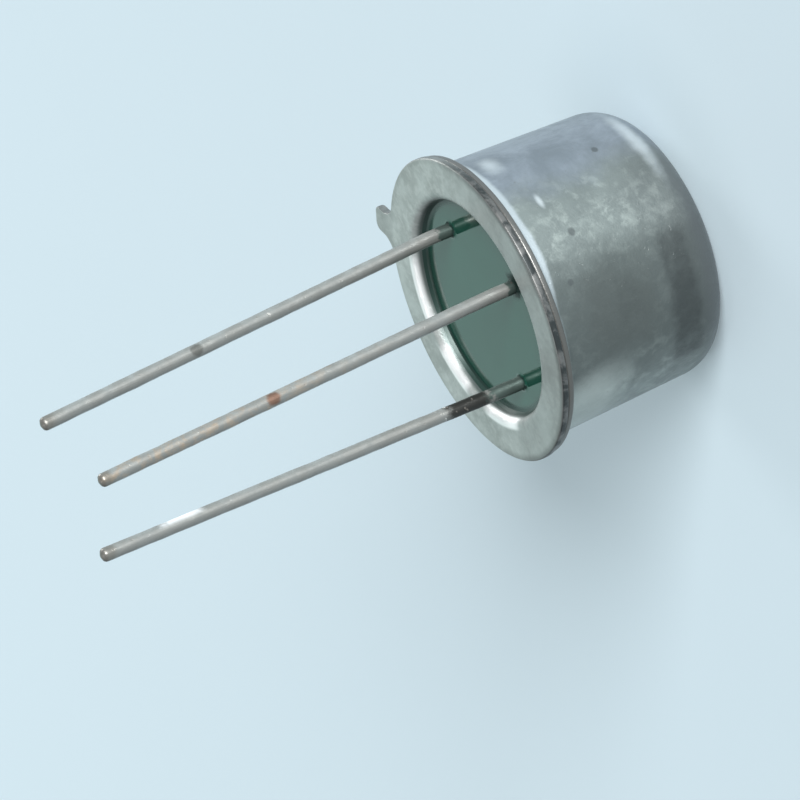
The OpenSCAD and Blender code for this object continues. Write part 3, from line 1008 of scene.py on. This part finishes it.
# %% Build the wire tree
def wire_tree():
    tree, start, end = geometry_tree("wire", {
        "Wire radius": "Float", "Head scale": "Float", "Head length": "Float", "Tip length": "Float",
        "Step": "Float", "Dent depth": "Float", "Dent density": "Float", "Material": "Material",
    })
    given = start.outputs
    path = add(tree, "GeometryNodeMeshToCurve", {0: given["Geometry"]})
    steps = add(tree, "GeometryNodeResampleCurve",
                {"Curve": path.outputs[0], "Length": given["Step"]}, mode="LENGTH")
    section = add(tree, "GeometryNodeCurvePrimitiveCircle",
                  {"Resolution": 28, "Radius": given["Wire radius"]})
    along = add(tree, "GeometryNodeSplineParameter")
    whole = add(tree, "GeometryNodeSplineLength")

    left = math_node(tree, "SUBTRACT", whole.outputs["Length"], along.outputs["Length"])
    share = math_node(tree, "MINIMUM", math_node(tree, "DIVIDE", left, start.outputs["Tip length"]), 1.0)
    missing = math_node(tree, "SUBTRACT", 1.0, share)
    fall = math_node(tree, "MULTIPLY", missing, math_node(tree, "MULTIPLY", missing, 0.92))
    dome = math_node(tree, "SQRT", math_node(tree, "SUBTRACT", 1.0, fall))
    in_head = math_node(tree, "LESS_THAN", along.outputs["Length"], start.outputs["Head length"])
    swell = math_node(tree, "SUBTRACT", start.outputs["Head scale"], 1.0)
    extra = math_node(tree, "MULTIPLY", in_head, swell)
    sweep = add(tree, "GeometryNodeCurveToMesh", {
        "Curve": steps.outputs[0], "Profile Curve": section.outputs[0],
        "Scale": math_node(tree, "ADD", dome, extra), "Fill Caps": True})
    close_tree(tree, start, end, uneven(tree, sweep.outputs[0], given["Dent depth"], given["Dent density"]))
    return tree


WIRE = wire_tree()


def lead_path(node, start_z):
    """Centreline of a lead in mm: straight through the glass, then leaning along x."""
    x, y, lean = LEADS[node]["x"], LEADS[node]["y"], LEADS[node]["lean"]
    bend_r = lead_bend_l / lean
    points = [(x, y, start_z), (x, y, body_h)]
    for i in range(1, 5):
        a = lean * i / 4
        points.append((x + bend_r * (1 - math.cos(a)), y, body_h + bend_r * math.sin(a)))
    last = points[-1]
    points.append((last[0] + lead_straight * math.sin(lean), y, last[2] + lead_straight * math.cos(lean)))
    print(f"{node} tip at z {points[-1][2]:.2f} mm, box top {top_of(node):.2f} mm")
    return points


def make_lead(node, start_z, head_scale, head_length):
    points = [Vector(p) * MM for p in lead_path(node, start_z)]
    lead = through_tree(WIRE, node + "_skin", points, {
        "Wire radius": lead_r * MM,
        "Head scale": head_scale,
        "Head length": head_length * MM,
        "Tip length": 0.14 * MM,
        "Step": 0.05 * MM,
        "Dent depth": 0.035 * MM,
        "Dent density": 1.3 / MM,
        "Material": LEAD_METAL,
    })
    finish_mesh(lead, 50)
    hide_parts(node)
    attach(lead, BODY)
    return lead


head_scale = post_head_r / lead_r
post_end_z = base_of("emitter_lead")
make_lead("emitter_lead", post_end_z, head_scale, post_head_t)
make_lead("base_lead", post_end_z, head_scale, post_head_t)
make_lead("collector_lead", floor_z, 1.0, 0.0)

# %% [markdown]
# ## Crumbs of flux and solder
#
# Old flux and solder cling to the collector lead just outside the header as small,
# lumpy crumbs, and a few more sit where the base lead enters the glass. They are
# all alike, so they are strewn: points along a stretch of the lead, moved a little
# at random with a fixed seed, each carrying a tiny lump of its own size and turn.
# The spread stays so small that each lump reaches into the wire.

# %% Strew the crumbs
def crumb_tree():
    tree, start, end = geometry_tree("crumbs", {
        "Count": "Int", "Spread": "Vector", "Smallest": "Float", "Largest": "Float", "Seed": "Int",
        "Material": "Material",
    })
    given = start.outputs
    path = add(tree, "GeometryNodeMeshToCurve", {0: given["Geometry"]})
    points = add(tree, "GeometryNodeCurveToPoints",
                 {"Curve": path.outputs[0], "Count": given["Count"]}, mode="COUNT")
    lump = add(tree, "GeometryNodeMeshIcoSphere", {"Radius": 1.0, "Subdivisions": 2})

    def at_random(low, high):
        """A random vector for each crumb, between two vectors."""
        return add(tree, "FunctionNodeRandomValue", {"Min": low, "Max": high, "Seed": given["Seed"]},
                   data_type="FLOAT_VECTOR").outputs[0]

    jitter = at_random(scaled(tree, given["Spread"], -1.0), given["Spread"])
    move = add(tree, "GeometryNodeSetPosition", {"Geometry": points.outputs["Points"], "Offset": jitter})
    strew = add(tree, "GeometryNodeInstanceOnPoints", {
        "Points": move.outputs[0], "Instance": lump.outputs["Mesh"],
        "Rotation": at_random((0, 0, 0), (2 * math.pi,) * 3),
        "Scale": at_random(given["Smallest"], given["Largest"])})
    close_tree(tree, start, end, strew.outputs[0])
    return tree


def crumb_material(name, metallic, first, second):
    material, tree, shader = new_material(name, metallic, 0.5)
    cloud = cloudy(tree, 9000.0, 0.5, 0.2)
    join(tree, blend_colours(tree, cloud, first, second), shader.inputs["Base Color"])
    return material


CRUMBS = crumb_tree()


def strew_crumbs(name, node, heights, count, spread, sizes, seed, material):
    """Strews crumbs on a lead between two heights. Sizes are in millimetres."""
    ends = [Vector(on_lead(node, z)) * MM for z in heights]
    crumbs = through_tree(CRUMBS, name, ends, {
        "Count": count,
        "Spread": [v * MM for v in spread],
        "Smallest": sizes[0] * MM,
        "Largest": sizes[1] * MM,
        "Seed": seed,
        "Material": material,
    })
    crumbs.data.shade_smooth()
    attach(crumbs, BODY)
    print(f"{name}: {len(crumbs.data.polygons)} faces")


OLD_FLUX = crumb_material("old_flux", 0.0, (0.02, 0.02, 0.018), (0.07, 0.065, 0.055))
SOLDER = crumb_material("solder", 0.7, (0.30, 0.31, 0.30), (0.50, 0.52, 0.51))
# Name, lead, heights, count, spread in x, y and z, smallest and largest size, seed, material
CRUMB_STRETCHES = [
    ("flux_crumbs", "collector_lead", (7.2, 8.35), 34, (0.165, 0.165, 0.05), (0.04, 0.09), 3, OLD_FLUX),
    ("solder_crumbs", "collector_lead", (8.35, 8.95), 14, (0.165, 0.165, 0.05), (0.04, 0.09), 5, SOLDER),
    ("entry_crumbs", "base_lead", (5.85, 6.0), 22, (0.16, 0.16, 0.03), (0.03, 0.055), 8, OLD_FLUX),
]
for stretch in CRUMB_STRETCHES:
    strew_crumbs(*stretch)

# %% [markdown]
# ## Pieces inside the can
#
# The chip, its gold preform, the two pads and the bond wires are sealed in and
# can't be seen, but they are part of the model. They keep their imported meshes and
# get their own finishes.

# %% Finishes of the hidden pieces
def hidden_material(name, first, second, metallic, roughness, scale):
    material, tree, shader = new_material(name, metallic, roughness)
    cloud = cloudy(tree, scale, 0.5, 0.25)
    join(tree, blend_colours(tree, cloud, first, second), shader.inputs["Base Color"])
    fine = wear(tree, SPECKLE, scale=scale * 8, amount=0.2)
    bump(tree, shader, fine.outputs["Height"], 0.15, 0.002)
    return material


def paint_node(node, material):
    """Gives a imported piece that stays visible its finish."""
    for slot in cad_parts[node].material_slots:
        slot.material = material


SILICON = hidden_material("silicon", (0.09, 0.10, 0.13), (0.13, 0.14, 0.17), 0.4, 0.15, 2500.0)
GOLD = hidden_material("gold", (0.83, 0.60, 0.24), (0.74, 0.51, 0.19), 1.0, 0.28, 3500.0)
PAD_METAL = hidden_material("pad_metal", (0.78, 0.79, 0.80), (0.68, 0.69, 0.71), 1.0, 0.3, 6000.0)
paint_node("chip", SILICON)
for node in ("gold_preform", "emitter_bond_wire", "base_bond_wire"):
    paint_node(node, GOLD)
for node in ("emitter_pad", "base_pad"):
    paint_node(node, PAD_METAL)

# %% [markdown]
# ## Floor and light
#
# The photograph has a pale, cool ground and soft light with no hard shadow. The key
# light is a very wide sun from near the eye, so the whole floor is lit evenly. A
# pale world fills the shadows, and where the floor ends the camera sees a plain
# backdrop instead of it. Three lamps are there to be mirrored: one by the glass,
# two by the groove at the flange, the lip and the rounded corner. All directions
# are the picture's own, which is how the photograph's highlights were read.

# %% Floor, world and lamps
FLOOR_COLOUR = (0.61, 0.72, 0.78)
FLOOR_GLOW = (0.62, 0.75, 0.79)
GLOW_SHARE = 0.22
WORLD_COLOUR = (0.86, 0.94, 1.0)
WORLD_STRENGTH = 0.27
BACKDROP_COLOUR = (0.62, 0.77, 0.85)
KEY_COLOUR = (0.98, 0.99, 1.0)
KEY_DIRECTION = (-0.05, 0.32, 0.945)
KEY_STRENGTH = 6.5
KEY_WIDTH_DEGREES = 30
FLOOR_HALF_M = 3.0
LAMP_DISTANCE = 260
# Name, direction in the picture (right, above, towards the eye), size in mm, power, colour
LAMPS = [
    ("sky", (-0.64, -0.28, -0.72), 260, 0.11, (0.74, 1.0, 0.96)),
    ("window", (-0.75, 0.5, -0.43), 120, 0.22, (1.0, 1.0, 1.0)),
    ("ceiling", (-0.8, -0.55, 0.15), 120, 0.08, (1.0, 1.0, 1.0)),
]


def floor_material():
    """A matt floor that keeps its shadows, and shows partly as an even glow to the eye and in metal."""
    material, tree, shader = new_material("floor_paint", 0.0, 0.9)
    tint = blend_colours(tree, cloudy(tree, 25.0, 0.5, 0.3), FLOOR_COLOUR,
                         tuple(c * 0.985 for c in FLOOR_COLOUR))
    join(tree, tint, shader.inputs["Base Color"])
    shader.inputs["Specular IOR Level"].default_value = 0.1
    glow = add(tree, "ShaderNodeEmission", {"Color": (*FLOOR_GLOW, 1.0)})
    rays = add(tree, "ShaderNodeLightPath").outputs
    seen = math_node(tree, "MAXIMUM", rays["Is Camera Ray"], math_node(
        tree, "MAXIMUM", rays["Is Glossy Ray"], rays["Is Transmission Ray"]))
    mixed = add(tree, "ShaderNodeMixShader",
                {0: both(tree, seen, GLOW_SHARE), 1: shader.outputs[0], 2: glow.outputs[0]})
    join(tree, mixed.outputs[0], tree.nodes["Material Output"].inputs["Surface"])
    return material


def make_floor():
    corners = [(x * FLOOR_HALF_M, y * FLOOR_HALF_M, 0) for x, y in ((-1, -1), (1, -1), (1, 1), (-1, 1))]
    mesh = bpy.data.meshes.new("floor")
    mesh.from_pydata(corners, [], [(0, 1, 2, 3)])
    made = bpy.data.objects.new("floor", mesh)
    bpy.context.collection.objects.link(made)
    made.data.materials.append(floor_material())


def make_world():
    world = bpy.data.worlds.new("studio")
    bpy.context.scene.world = world
    world.use_nodes = True
    tree = world.node_tree
    background = tree.nodes["Background"]
    background.inputs["Color"].default_value = (*WORLD_COLOUR, 1.0)
    background.inputs["Strength"].default_value = WORLD_STRENGTH
    backdrop = add(tree, "ShaderNodeBackground", {"Color": (*BACKDROP_COLOUR, 1.0)})
    seen = add(tree, "ShaderNodeLightPath").outputs["Is Camera Ray"]
    mixed = add(tree, "ShaderNodeMixShader", {0: seen, 1: background.outputs[0], 2: backdrop.outputs[0]})
    join(tree, mixed.outputs[0], tree.nodes["World Output"].inputs["Surface"])


def in_picture(direction):
    """Unit vector of a direction given in the picture: right, above and towards the eye."""
    right, above, towards = direction
    return (right * picture_x + above * picture_y + towards * back).normalized()


def hang_light(name, kind, direction, distance_mm, colour, **settings):
    """A light that shines at the part from a direction in the picture."""
    way = in_picture(direction)
    data = bpy.data.lights.new(name, kind)
    data.color = colour
    for key, value in settings.items():
        setattr(data, key, value)
    light = bpy.data.objects.new(name, data)
    light.location = (VIEW_TARGET + way * distance_mm) * MM
    light.rotation_euler = way.to_track_quat("Z", "Y").to_euler()
    bpy.context.collection.objects.link(light)


make_floor()
make_world()
hang_light("key", "SUN", KEY_DIRECTION, LAMP_DISTANCE, KEY_COLOUR,
           energy=KEY_STRENGTH, angle=math.radians(KEY_WIDTH_DEGREES))
for name, direction, size_mm, power, colour in LAMPS:
    hang_light(name, "AREA", direction, LAMP_DISTANCE, colour, shape="DISK", size=size_mm * MM, energy=power)
bpy.context.scene.view_settings.view_transform = "Standard"
